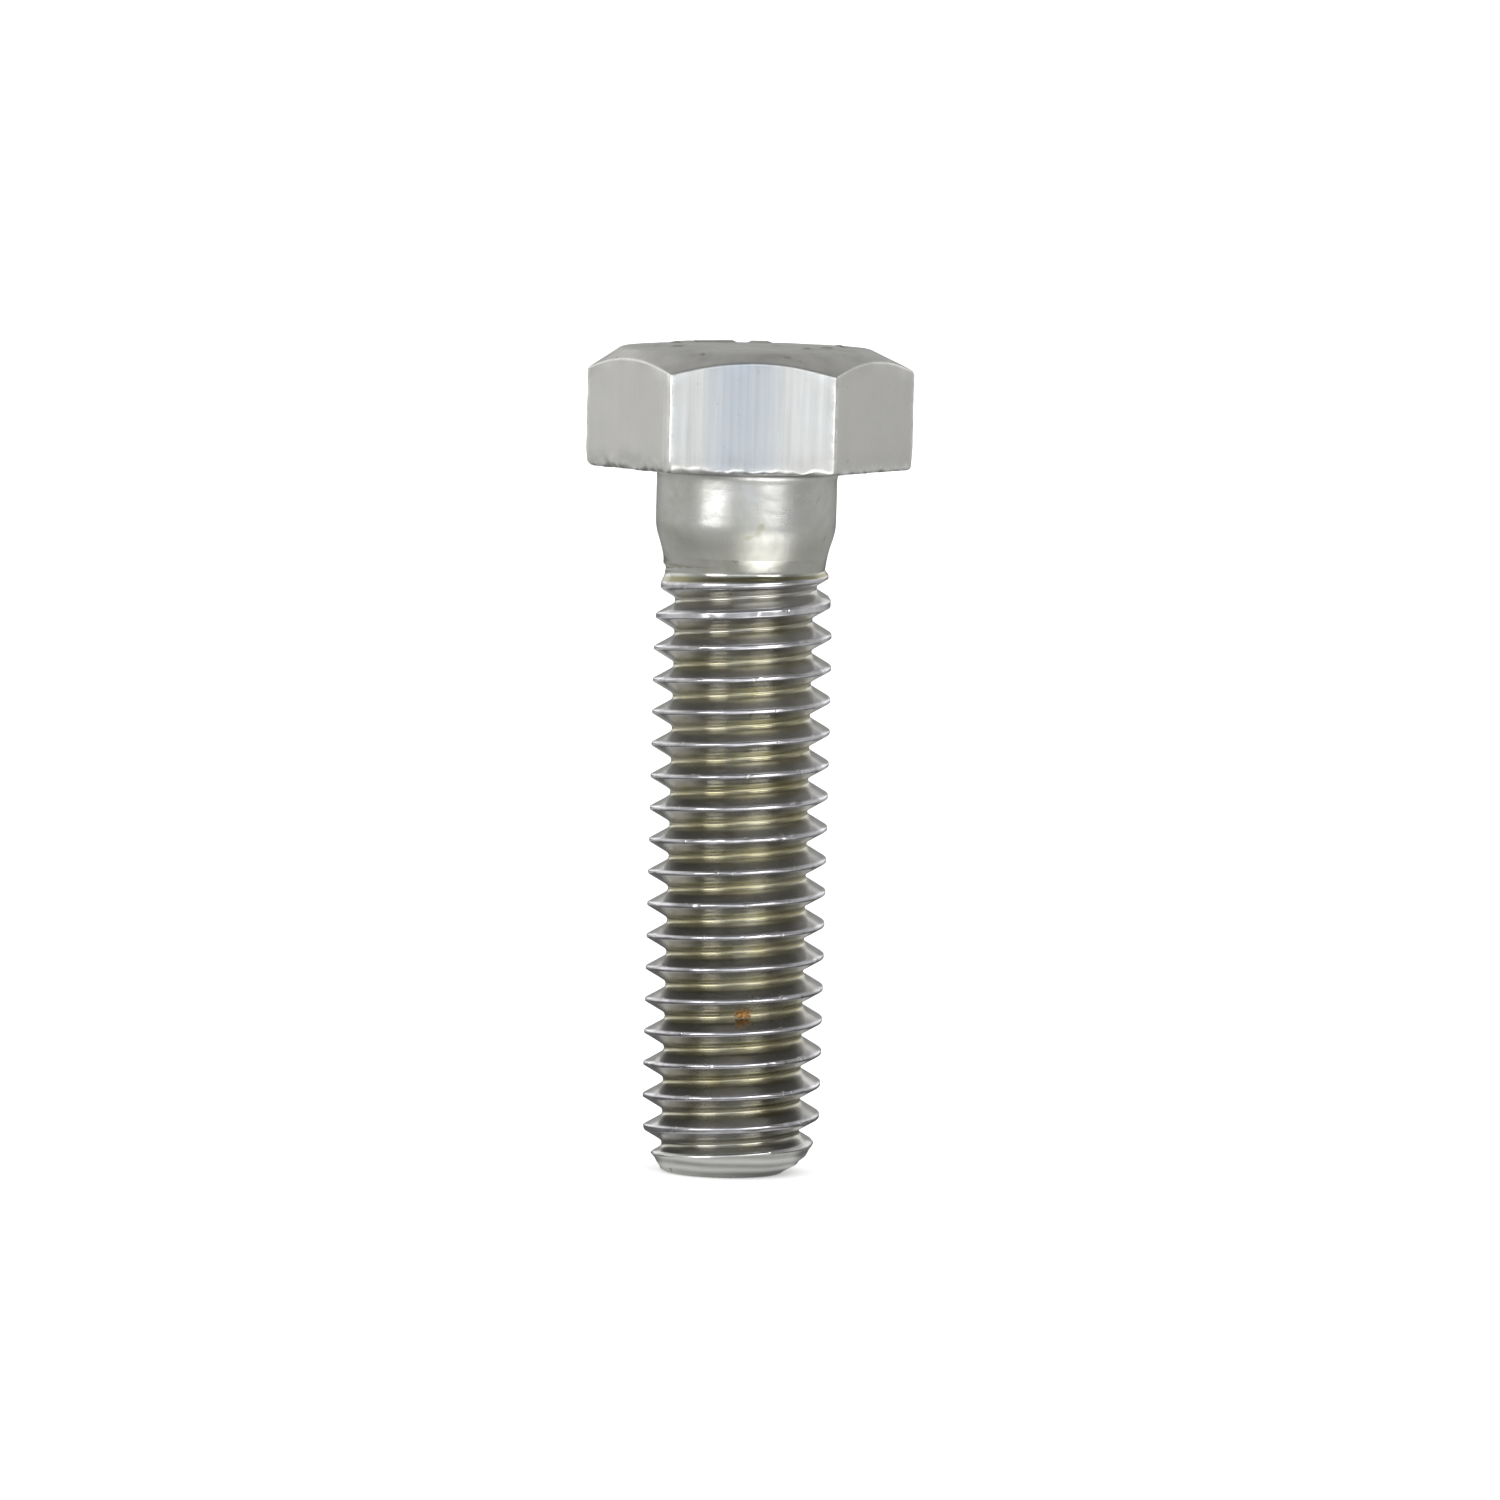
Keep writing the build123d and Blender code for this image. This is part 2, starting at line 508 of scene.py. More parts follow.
    def threadPoint(column, rowNumber):
        turn, place = divmod(rowNumber, perTurn)
        a = coarse[column]
        z = thread["phase"] + pitch * (firstTurn - turn + a / (2 * math.pi)) + offsets[place]
        if z > top - 0.03:
            key, z = (column, "top"), top
        elif z < end + 0.03:
            key, z = (column, "end"), end
        else:
            key = (column, rowNumber)
        if key not in grid:
            stray = rough(3.9 * math.cos(a), 3.9 * math.sin(a), z, 0.8, 33) * smooth(-4.5, -5.5, z)
            r, depth, crest = threadRadius(a, z + (thread["wander"] * stray if z > end else 0.0))
            x, y = r * math.cos(a), r * math.sin(a)
            # The plain shank's waviness dies out down the thread, and the crests get their own
            r += waviness(a, z) * smooth(-6.0, -4.2, z)
            r += thread["crestSwell"] * rough(x, y, z, 0.9, 34) * (1 - depth) * smooth(-4.2, -6.5, z)
            r -= nick(x, y, z, r)
            stand = crest - flowing(shank["profile"], z)     # how far the rolled metal stands off the blank
            ridge = smooth(0.148, 0.176, stand)
            shallow = 1.0 - smooth(0.035, 0.15, depth)
            # Painted shadow: the band where the rolled metal starts to stand off the blank, below the ridge
            lipShadowBand = smooth(0.012, 0.050, stand) * (1.0 - ridge) * shallow
            # Crests, and the ring ridges on the pointed end, get the brighter colour: wear and painted
            # highlight
            wearAndSheen = ridge * shallow if z > -29.6 else (0.5 + 0.5 * ringWave(a, z)) * shallow
            grid[key] = addPoint((r * math.cos(a), r * math.sin(a), z), depth, wearAndSheen, lipShadowBand)
        return grid[key]

    columnCount = len(coarse)
    for c in range(columnCount):
        for k in range(rowCount):
            ids = []
            nextColumn = (c + 1) % columnCount
            across = k - perTurn if c + 1 == columnCount else k      # the helix climbs one turn at the seam
            for column, rowNumber in ((c, k), (c, k + 1), (nextColumn, across + 1), (nextColumn, across)):
                ids.append(threadPoint(column, rowNumber))
            loop = []
            for v in ids:
                if v not in loop:
                    loop.append(v)
            if len(loop) >= 3:
                faces.append(tuple(loop))
                onPoint = all(verts[v][2] < point["finishTop"] * mm and groove[v] < 0.05 for v in loop)
                marks.append(4 if onPoint else 3)
    topRing = [grid[(c, "top")] for c in range(columnCount)]
    joinRows(previous, topRing, 2)
    previous = [grid[(c, "end")] for c in range(columnCount)]

    # End face
    rim = [verts[v] for v in previous]
    for share, z in point["face"]:
        row = []
        for p in rim:
            x, y = p[0] / mm * share, p[1] / mm * share
            lift = point["faceWave"] * rough(x, y, 0, 1.5, 41)
            # A bright rim round the end face: partly wear, partly painted highlight
            wearAndSheen = point["faceWearAndSheen"] if share > 0.93 else 0.0
            row.append(addPoint((x, y, point["rimRow"] + z + lift), 0.0, wearAndSheen))
        joinRows(previous, row, 4)
        previous = row
    tip = addPoint((0, 0, point["rimRow"] + point["faceMiddle"]))
    for k in range(columnCount):
        faces.append((previous[k], tip, previous[(k + 1) % columnCount]))
        marks.append(4)

    mesh = bpy.data.meshes.new("boltBody")
    mesh.from_pydata(verts, [], faces)
    for name, values in (("groove", groove), ("edge", edge), ("shadeAndGrime", shadeAndGrime)):
        mask = mesh.attributes.new(name, "FLOAT", "POINT")
        mask.data.foreach_set("value", values)
    mesh.polygons.foreach_set("material_index", marks)
    mesh.polygons.foreach_set("use_smooth", [True] * len(mesh.polygons))
    mesh.update()
    bolt = bpy.data.objects.new("boltBody", mesh)
    bpy.context.scene.collection.objects.link(bolt)
    return bolt


bolt = buildBolt()
triangleCount = sum(len(p.vertices) - 2 for p in bolt.data.polygons)
print("bolt mesh:", len(bolt.data.vertices), "points,", triangleCount, "triangles")


def plug(tree, socket, value):
    # A number or a colour is set on the socket; anything else is the output of another node
    if isinstance(value, (int, float)):
        socket.default_value = value
    elif isinstance(value, tuple):
        socket.default_value = (*value, 1.0)
    elif value is not None:
        tree.links.new(value, socket)


def calc(tree, kind, a, b=None):
    node = tree.nodes.new("ShaderNodeMath")
    node.operation = kind
    plug(tree, node.inputs[0], a)
    plug(tree, node.inputs[1], b)
    return node.outputs[0]


def times(tree, a, b):
    return calc(tree, "MULTIPLY", a, b)


def plus(tree, a, b):
    return calc(tree, "ADD", a, b)


def mapRange(tree, value, low, high, toLow=0.0, toHigh=1.0):
    node = tree.nodes.new("ShaderNodeMapRange")
    for socket, v in zip(node.inputs, (value, low, high, toLow, toHigh)):
        plug(tree, socket, v)
    return node.outputs[0]


def mixColour(tree, factor, a, b):
    node = tree.nodes.new("ShaderNodeMix")
    node.data_type = "RGBA"
    plug(tree, node.inputs["Factor"], factor)
    plug(tree, node.inputs[6], a)
    plug(tree, node.inputs[7], b)
    return node.outputs[2]


def tint(tree, colour, mask, share, other):
    # Lays another colour over the first one where the mask is high
    return mixColour(tree, times(tree, mask, share), colour, other)


def axesOf(tree, vector):
    node = tree.nodes.new("ShaderNodeSeparateXYZ")
    tree.links.new(vector, node.inputs[0])
    return node.outputs


def stretched(tree, vector, scale):
    node = tree.nodes.new("ShaderNodeMapping")
    tree.links.new(vector, node.inputs["Vector"])
    node.inputs["Scale"].default_value = scale
    return node.outputs["Vector"]


def noiseOf(tree, vector, scale, detail, roughness, distortion=0.0):
    node = tree.nodes.new("ShaderNodeTexNoise")
    plug(tree, node.inputs["Vector"], vector)
    plug(tree, node.inputs["Scale"], scale)
    plug(tree, node.inputs["Detail"], detail)
    plug(tree, node.inputs["Roughness"], roughness)
    plug(tree, node.inputs["Distortion"], distortion)
    return node.outputs["Fac"]


def readMask(tree, name):
    node = tree.nodes.new("ShaderNodeAttribute")
    node.attribute_name = name
    return node.outputs["Fac"]


def newGroup(name, inputs, outputs):
    # Inputs are (name, kind of value, start value), outputs are (name, kind of value)
    group = bpy.data.node_groups.new(name, "ShaderNodeTree")
    for label, kind, value in inputs:
        socket = group.interface.new_socket(label, in_out="INPUT", socket_type="NodeSocket" + kind)
        if value is not None:
            socket.default_value = value
    for label, kind in outputs:
        group.interface.new_socket(label, in_out="OUTPUT", socket_type="NodeSocket" + kind)
    start = group.nodes.new("NodeGroupInput").outputs
    stop = group.nodes.new("NodeGroupOutput").inputs
    return group, start, stop


def makeDrawnLines():
    # Fine lines left by a tool, drawn out along one direction of the vector that comes in
    inputs = [("Vector", "Vector", None), ("Fineness", "Float", 3000.0), ("Patchiness", "Float", 0.5)]
    group, start, stop = newGroup("drawnLines", inputs, [("Lines", "Float"), ("Broad", "Float")])
    fine = mapRange(group, noiseOf(group, start["Vector"], start["Fineness"], 4.0, 0.65), 0.28, 0.72)
    broadScale = times(group, start["Fineness"], 0.22)
    broad = mapRange(group, noiseOf(group, start["Vector"], broadScale, 2.0, 0.5), 0.30, 0.70)
    mixed = group.nodes.new("ShaderNodeMix")
    for socket, value in zip(mixed.inputs, (start["Patchiness"], None, fine, broad)):
        plug(group, socket, value)
    group.links.new(mixed.outputs[0], stop["Lines"])
    group.links.new(broad, stop["Broad"])
    return group


def makeMottle():
    # Cloudy stains, small dark specks and a fine grain
    inputs = [("Vector", "Vector", None), ("Cloud Scale", "Float", 400.0), ("Speck Scale", "Float", 1800.0),
              ("Speck Amount", "Float", 0.3)]
    outputs = [("Clouds", "Float"), ("Specks", "Float"), ("Grain", "Float")]
    group, start, stop = newGroup("mottle", inputs, outputs)
    clouds = noiseOf(group, start["Vector"], start["Cloud Scale"], 4.0, 0.6, 0.4)
    group.links.new(mapRange(group, clouds, 0.36, 0.66), stop["Clouds"])
    specks = noiseOf(group, start["Vector"], start["Speck Scale"], 1.0, 0.4)
    low = mapRange(group, start["Speck Amount"], 0.0, 1.0, 0.80, 0.52)
    group.links.new(mapRange(group, specks, low, plus(group, low, 0.06)), stop["Specks"])
    grain = noiseOf(group, start["Vector"], times(group, start["Speck Scale"], 4.0), 2.0, 0.6)
    group.links.new(grain, stop["Grain"])
    return group


def makeEdgeWearAndSheen():
    # Lays a brighter colour over edges and crests: wear, and in places a painted highlight
    inputs = [("Colour", "Color", None), ("Wear And Sheen Colour", "Color", None), ("Amount", "Float", 1.0)]
    group, start, stop = newGroup("edgeWearAndSheen", inputs, [("Colour", "Color")])
    wearAndSheen = times(group, readMask(group, "edge"), start["Amount"])
    group.links.new(mixColour(group, wearAndSheen, start["Colour"], start["Wear And Sheen Colour"]), stop["Colour"])
    return group


drawnLines = makeDrawnLines()
mottle = makeMottle()
edgeWearAndSheen = makeEdgeWearAndSheen()


def placeGroup(tree, group, values):
    node = tree.nodes.new("ShaderNodeGroup")
    node.node_tree = group
    for label, value in values.items():
        plug(tree, node.inputs[label], value)
    return node.outputs


def linesOn(tree, vector, fineness, patchiness):
    return placeGroup(tree, drawnLines, {"Vector": vector, "Fineness": fineness, "Patchiness": patchiness})


def mottleOn(tree, vector, cloudScale, speckScale, speckAmount):
    return placeGroup(tree, mottle, {"Vector": vector, "Cloud Scale": cloudScale, "Speck Scale": speckScale,
                                     "Speck Amount": speckAmount})


def wearAndSheenOnEdges(tree, colour, wearAndSheenColour, amount):
    values = {"Colour": colour, "Wear And Sheen Colour": wearAndSheenColour, "Amount": amount}
    return placeGroup(tree, edgeWearAndSheen, values)["Colour"]


def startFinish(name):
    material = bpy.data.materials.new(name)
    material.use_nodes = True
    tree = material.node_tree
    tree.nodes.clear()
    output = tree.nodes.new("ShaderNodeOutputMaterial")
    shader = tree.nodes.new("ShaderNodeBsdfPrincipled")
    tree.links.new(shader.outputs[0], output.inputs[0])
    shader.inputs["Metallic"].default_value = 1.0
    place = tree.nodes.new("ShaderNodeTexCoord").outputs["Object"]
    return material, tree, shader, place


def setGloss(tree, shader, mask, look):
    # Rougher where the mask is high
    gloss = mapRange(tree, mask, 0.0, 1.0, look["smoothest"], look["roughest"])
    tree.links.new(gloss, shader.inputs["Roughness"])


def bump(tree, shader, height, look):
    node = tree.nodes.new("ShaderNodeBump")
    node.inputs["Strength"].default_value = look["bumpStrength"]
    node.inputs["Distance"].default_value = look["bumpDepth"]
    tree.links.new(height, node.inputs["Height"])
    tree.links.new(node.outputs[0], shader.inputs["Normal"])


# In the finishes, stretches are along X, Y and Z, and places and depths are in metres
flatFinish = {
    "steel": (0.665, 0.66, 0.645), "pale": (0.76, 0.755, 0.745), "stain": (0.60, 0.595, 0.57),
    # For the flats facing -Y and +Y: brighter streaks, partly real drawn lines and partly painted sheen, and
    # a bluish band that is a painted reflection of the front lamp
    "frontSheenDark": (0.56, 0.565, 0.56), "frontSheen": (0.95, 0.94, 0.92),
    "blueReflectionDark": (0.47, 0.51, 0.575), "blueReflection": (0.61, 0.655, 0.715),
    "bright": (0.96, 0.96, 0.95), "speck": (0.38, 0.37, 0.35),
    "frontFrom": 0.0039, "frontTo": 0.0035,      # the flats that face -Y and +Y, out from their middle
    "blueReflectionFrom": 0.0023, "blueReflectionTo": 0.0012, "blueReflectionCentre": 0.00025, "blueReflectionRagged": 0.0007,
    "streakStretch": (1.0, 1.0, 0.03), "hairStretch": (1.0, 1.0, 0.02),
    "smoothest": 0.24, "roughest": 0.40, "bumpStrength": 0.5, "bumpDepth": 0.00002,
}


def makeFlatFinish():
    look = flatFinish
    material, tree, shader, place = startFinish("drawnFlats")
    streaks = linesOn(tree, stretched(tree, place, look["streakStretch"]), 2100.0, 0.40)
    hairs = linesOn(tree, stretched(tree, place, look["hairStretch"]), 5200.0, 0.2)
    stains = mottleOn(tree, place, 420.0, 2300.0, 0.10)
    patchyWearAndSheen = mottleOn(tree, place, 2400.0, 1500.0, 0.3)
    # Painted reflection on the flats facing -Y and +Y: brighter streaks, and a bluish band down their middle
    fromMiddle = calc(tree, "ABSOLUTE", plus(tree, axesOf(tree, place)["X"], look["blueReflectionCentre"]))
    onFront = mapRange(tree, fromMiddle, look["frontFrom"], look["frontTo"])
    ragged = plus(tree, fromMiddle, times(tree, streaks["Lines"], look["blueReflectionRagged"]))
    blueReflectionBand = mapRange(tree, ragged, look["blueReflectionFrom"], look["blueReflectionTo"])
    side = tint(tree, look["steel"], streaks["Lines"], 0.5, look["pale"])
    front = mixColour(tree, streaks["Lines"], look["frontSheenDark"], look["frontSheen"])
    blueReflection = mixColour(tree, hairs["Lines"], look["blueReflectionDark"], look["blueReflection"])
    front = tint(tree, front, blueReflectionBand, 0.85, blueReflection)
    colour = mixColour(tree, onFront, side, front)
    colour = tint(tree, colour, stains["Clouds"], 0.30, look["stain"])
    colour = tint(tree, colour, stains["Specks"], 0.40, look["speck"])
    # Edges and corners are brightened: wear, and along the bottom of the flats and the rim a painted
    # highlight
    colour = wearAndSheenOnEdges(tree, colour, look["bright"], patchyWearAndSheen["Clouds"])
    tree.links.new(colour, shader.inputs["Base Color"])
    sheen = mapRange(tree, streaks["Broad"], 0.0, 1.0, look["roughest"], look["smoothest"])
    dulled = plus(tree, sheen, times(tree, stains["Clouds"], 0.08))
    tree.links.new(dulled, shader.inputs["Roughness"])
    height = plus(tree, times(tree, streaks["Lines"], 0.8), times(tree, hairs["Lines"], 0.3))
    height = plus(tree, height, times(tree, stains["Grain"], 0.25))
    height = plus(tree, height, times(tree, stains["Specks"], -0.8))
    bump(tree, shader, height, look)
    return material


topFinish = {
    "steel": (0.66, 0.655, 0.64), "stain": (0.54, 0.535, 0.51),
    "speck": (0.24, 0.23, 0.21), "wearAndSheen": (0.74, 0.74, 0.73),
    "smoothest": 0.42, "roughest": 0.56, "bumpStrength": 0.45, "bumpDepth": 0.00002,
}


def makeTopFinish():
    look = topFinish
    material, tree, shader, place = startFinish("forgedTop")
    stains = mottleOn(tree, place, 520.0, 1300.0, 0.34)
    colour = mixColour(tree, stains["Clouds"], look["steel"], look["stain"])
    colour = tint(tree, colour, stains["Specks"], 0.7, look["speck"])
    colour = wearAndSheenOnEdges(tree, colour, look["wearAndSheen"], 0.35)
    # Darker on the slopes of the raised bars
    colour = tint(tree, colour, readMask(tree, "shadeAndGrime"), 0.75, look["speck"])
    tree.links.new(colour, shader.inputs["Base Color"])
    setGloss(tree, shader, stains["Clouds"], look)
    height = plus(tree, stains["Grain"], times(tree, stains["Specks"], -0.7))
    bump(tree, shader, height, look)
    return material


shankFinish = {
    "steel": (0.65, 0.65, 0.64), "stain": (0.45, 0.45, 0.405), "speck": (0.32, 0.30, 0.19),
    "neck": (0.42, 0.42, 0.36),                  # darker towards the thread
    "neckShare": 0.38, "neckFrom": -0.0024, "neckTo": -0.0034,
    "ringStretch": (0.06, 0.06, 1.0), "drawnStretch": (1.0, 1.0, 0.10),
    "smoothest": 0.27, "roughest": 0.42, "bumpStrength": 0.40, "bumpDepth": 0.00003,
}


def makeShankFinish():
    look = shankFinish
    material, tree, shader, place = startFinish("satinShank")
    rings = linesOn(tree, stretched(tree, place, look["ringStretch"]), 2200.0, 0.5)
    drawn = linesOn(tree, stretched(tree, place, look["drawnStretch"]), 1500.0, 0.5)
    stains = mottleOn(tree, place, 380.0, 1200.0, 0.30)
    colour = mixColour(tree, stains["Clouds"], look["steel"], look["stain"])
    colour = tint(tree, colour, drawn["Broad"], 0.35, look["steel"])
    colour = tint(tree, colour, stains["Specks"], 0.5, look["speck"])
    neck = mapRange(tree, axesOf(tree, place)["Z"], look["neckFrom"], look["neckTo"], 0.0, look["neckShare"])
    colour = mixColour(tree, neck, colour, look["neck"])
    tree.links.new(colour, shader.inputs["Base Color"])
    setGloss(tree, shader, stains["Clouds"], look)
    height = plus(tree, times(tree, rings["Lines"], 0.35), times(tree, drawn["Lines"], 0.5))
    height = plus(tree, height, times(tree, stains["Clouds"], 0.9))
    bump(tree, shader, height, look)
    return material


threadFinish = {
    # Lighter crests: partly wear, partly painted highlight
    "crest": (0.78, 0.77, 0.81), "crestStain": (0.48, 0.475, 0.49),
    "flank": (0.53, 0.525, 0.51), "flankStain": (0.42, 0.415, 0.395), "browned": (0.34, 0.27, 0.22),
    # Painted shade: the darker olive deeper in the groove, and a painted shadow just above the lip
    "shadeAndGrime": (0.29, 0.27, 0.175), "lipShadow": (0.24, 0.225, 0.12),
    # The darker golden root is painted shade with a painted bounce tint
    "root": (0.46, 0.437, 0.318), "rootShadeAndGrime": (0.35, 0.322, 0.185), "speck": (0.16, 0.13, 0.08),
    "neckFrom": -0.0052, "neckTo": -0.0046,      # the shank's darker neck dies out down the thread
    "rust": (0.40, 0.21, 0.055), "rustDark": (0.15, 0.085, 0.03),
    "rustPlace": (0.00036, -0.00312, -0.02379), "rustReach": 0.00038,
    "rustSquash": (1.0, 0.4, 1.9), "rustRagged": 0.0006,
    "aroundStretch": 0.05,
    "smoothest": 0.16, "roughest": 0.28, "rootRoughness": 0.07, "rustRoughness": 0.5,
    "bumpStrength": 0.25, "bumpDepth": 0.00002,
}


def aroundAxis(tree, place):
    # A vector whose pattern runs round the thread
    axes = axesOf(tree, place)
    squares = plus(tree, times(tree, axes["X"], axes["X"]), times(tree, axes["Y"], axes["Y"]))
    join = tree.nodes.new("ShaderNodeCombineXYZ")
    plug(tree, join.inputs[0], times(tree, axes["X"], threadFinish["aroundStretch"]))
    plug(tree, join.inputs[1], times(tree, axes["Y"], threadFinish["aroundStretch"]))
    plug(tree, join.inputs[2], calc(tree, "SQRT", squares))
    return join.outputs[0]


def rustSpot(tree, place, grain):
    # One flat patch of rust in the bottom of the groove
    shift = tree.nodes.new("ShaderNodeVectorMath")
    shift.operation = "SUBTRACT"
    tree.links.new(place, shift.inputs[0])
    shift.inputs[1].default_value = threadFinish["rustPlace"]
    away = 0.0
    for axis, squash in zip(axesOf(tree, shift.outputs[0]), threadFinish["rustSquash"]):
        away = calc(tree, "MAXIMUM", away, times(tree, calc(tree, "ABSOLUTE", axis), squash))
    uneven = times(tree, plus(tree, grain, -0.5), threadFinish["rustRagged"])
    reach = threadFinish["rustReach"]
    return mapRange(tree, plus(tree, away, uneven), reach, reach * 0.8)


def makeThreadFinish():
    look = threadFinish
    material, tree, shader, place = startFinish("rolledThread")
    groove = readMask(tree, "groove")
    lines = linesOn(tree, aroundAxis(tree, place), 4500.0, 0.3)
    stains = mottleOn(tree, place, 260.0, 1400.0, 0.28)
    patches = mottleOn(tree, place, 620.0, 700.0, 0.2)
    plain = mottleOn(tree, place, 380.0, 1200.0, 0.30)
    pecks = mottleOn(tree, place, 900.0, 2600.0, 0.5)

    # How far each spot belongs to the flank, to the painted shade deeper in the groove, and to the root
    onFlank = times(tree, mapRange(tree, groove, 0.02, 0.09), mapRange(tree, groove, 0.97, 0.90))
    patchy = mapRange(tree, patches["Clouds"], 0.0, 1.0, 0.45, 1.0)
    grooveShadeAndGrime = times(tree, mapRange(tree, groove, 0.50, 0.92), patchy)
    inRoot = mapRange(tree, groove, 0.92, 0.985)

    flank = mixColour(tree, stains["Clouds"], look["flank"], look["flankStain"])
    flank = tint(tree, flank, patches["Specks"], 0.6, look["browned"])
    # Painted shade: the flank turns dark olive deeper in the groove
    flank = mixColour(tree, grooveShadeAndGrime, flank, look["shadeAndGrime"])
    # Painted shade in the root: darker, with a golden bounce tint
    root = mixColour(tree, patches["Clouds"], look["root"], look["rootShadeAndGrime"])
    crest = mixColour(tree, patches["Clouds"], look["crest"], look["crestStain"])
    blank = mixColour(tree, plain["Clouds"], shankFinish["steel"], shankFinish["stain"])
    neck = mapRange(tree, axesOf(tree, place)["Z"], look["neckFrom"], look["neckTo"])
    blank = tint(tree, blank, neck, shankFinish["neckShare"], shankFinish["neck"])
    # Painted shadow just above the lip, where the first groove starts
    blank = tint(tree, blank, readMask(tree, "shadeAndGrime"), 0.9, look["lipShadow"])
    colour = mixColour(tree, onFlank, blank, flank)
    colour = mixColour(tree, inRoot, colour, root)
    colour = wearAndSheenOnEdges(tree, colour, crest, 1.0)
    colour = tint(tree, colour, stains["Specks"], 0.35, look["speck"])
    rusted = rustSpot(tree, place, stains["Grain"])
    rust = mixColour(tree, mapRange(tree, stains["Grain"], 0.42, 0.58), look["rustDark"], look["rust"])
    colour = mixColour(tree, rusted, colour, rust)
    tree.links.new(colour, shader.inputs["Base Color"])

    gloss = mapRange(tree, stains["Clouds"], 0.0, 1.0, look["smoothest"], look["roughest"])
    gloss = plus(tree, gloss, times(tree, inRoot, look["rootRoughness"]))
    gloss = plus(tree, gloss, times(tree, rusted, look["rustRoughness"]))
    tree.links.new(gloss, shader.inputs["Roughness"])
    tree.links.new(plus(tree, 1.0, times(tree, rusted, -0.8)), shader.inputs["Metallic"])
    pecked = times(tree, pecks["Specks"], readMask(tree, "edge"))
    height = plus(tree, times(tree, lines["Lines"], 0.3), times(tree, plain["Clouds"], 0.5))
    height = plus(tree, height, times(tree, rusted, 2.0))
    height = plus(tree, height, times(tree, pecked, -4.0))
    bump(tree, shader, height, look)
    return material


pointFinish = {
    # Painted light and shade on the turning rings: the turned colour makes darker bands, the worn colour
    # brighter ridges and a brighter rim, the rim partly worn
    "steel": (0.64, 0.64, 0.625), "stain": (0.50, 0.495, 0.47), "turned": (0.40, 0.395, 0.375),
    "wearAndSheen": (0.96, 0.96, 0.95), "speck": (0.22, 0.21, 0.18),
    "ringStretch": (0.05, 0.05, 1.0),
    "smoothest": 0.24, "roughest": 0.42, "bumpStrength": 0.45, "bumpDepth": 0.00003,
}


def makePointFinish():
    look = pointFinish
    material, tree, shader, place = startFinish("shearedEnd")
    rings = linesOn(tree, stretched(tree, place, look["ringStretch"]), 8000.0, 0.5)
    stains = mottleOn(tree, place, 700.0, 1500.0, 0.15)
    colour = mixColour(tree, stains["Clouds"], look["steel"], look["stain"])
    # Painted bands of light and shade along the turning rings
    colour = tint(tree, colour, rings["Broad"], 0.75, look["turned"])
    colour = wearAndSheenOnEdges(tree, colour, look["wearAndSheen"], 0.9)
    colour = tint(tree, colour, stains["Specks"], 0.7, look["speck"])
    tree.links.new(colour, shader.inputs["Base Color"])
    setGloss(tree, shader, stains["Clouds"], look)
    height = plus(tree, times(tree, rings["Lines"], 0.9), times(tree, stains["Grain"], 0.3))
    bump(tree, shader, height, look)
    return material


for makeFinish in (makeTopFinish, makeFlatFinish, makeShankFinish, makeThreadFinish, makePointFinish):
    bolt.data.materials.append(makeFinish())
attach(bolt, "root")
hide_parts("hex_bolt")
print("finishes on:", [m.name for m in bolt.data.materials])


# Lengths here and in the lights are in metres. Each patch changes the sheet's glow with the distance
# from its place: from inside (within its first distance) to outside (past its second one).
floorSheet = {
    "radius": 4.0,
    "corners": 64,
    "paper": 0.93,
    "ownLight": 0.25,
    "tone": (1.0, 1.0, 0.98),
    # lamp light lying on the sheet
    "pool": {"place": (0.025, -0.052), "from": 0.0, "to": 0.048, "inside": 3.22, "outside": 0.52},
    # the bolt keeps light off the sheet behind its foot
    "shade": {"place": (0.0, 0.020), "from": 0.028, "to": 0.056, "inside": 0.30, "outside": 1.0},
    # light that gets under the chamfered end
    "under": {"place": (0.0, -0.0045), "from": 0.0048, "to": 0.0072, "inside": 1.0, "outside": 0.0},
    # painted contact shadow on the sheet that the bolt stands on
    "footShade": {"place": (0.0, 0.0), "from": 0.0024, "to": 0.0032, "inside": 0.30, "outside": 1.0},
    # painted shade on the sheet far behind the bolt
    "farShade": {"place": (0.0, 0.45), "from": 0.20, "to": 0.38, "inside": 0.33, "outside": 1.0},
}


def patchOn(tree, place, patch):
    away = tree.nodes.new("ShaderNodeVectorMath")
    away.operation = "DISTANCE"
    tree.links.new(place, away.inputs[0])
    away.inputs[1].default_value = (*patch["place"], boltLow.z)
    change = tree.nodes.new("ShaderNodeMapRange")
    change.interpolation_type = "SMOOTHSTEP"
    tree.links.new(away.outputs["Value"], change.inputs["Value"])
    change.inputs["From Min"].default_value = patch["from"]
    change.inputs["From Max"].default_value = patch["to"]
    change.inputs["To Min"].default_value = patch["inside"]
    change.inputs["To Max"].default_value = patch["outside"]
    return change.outputs["Result"]


def glossyOr(tree, plain, seenInMetal, output):
    # The metal reflects one shader, and everything else sees the plain one
    path = tree.nodes.new("ShaderNodeLightPath")
    mix = tree.nodes.new("ShaderNodeMixShader")
    tree.links.new(path.outputs["Is Glossy Ray"], mix.inputs[0])
    tree.links.new(plain.outputs[0], mix.inputs[1])
    tree.links.new(seenInMetal.outputs[0], mix.inputs[2])
    tree.links.new(mix.outputs[0], output.inputs[0])


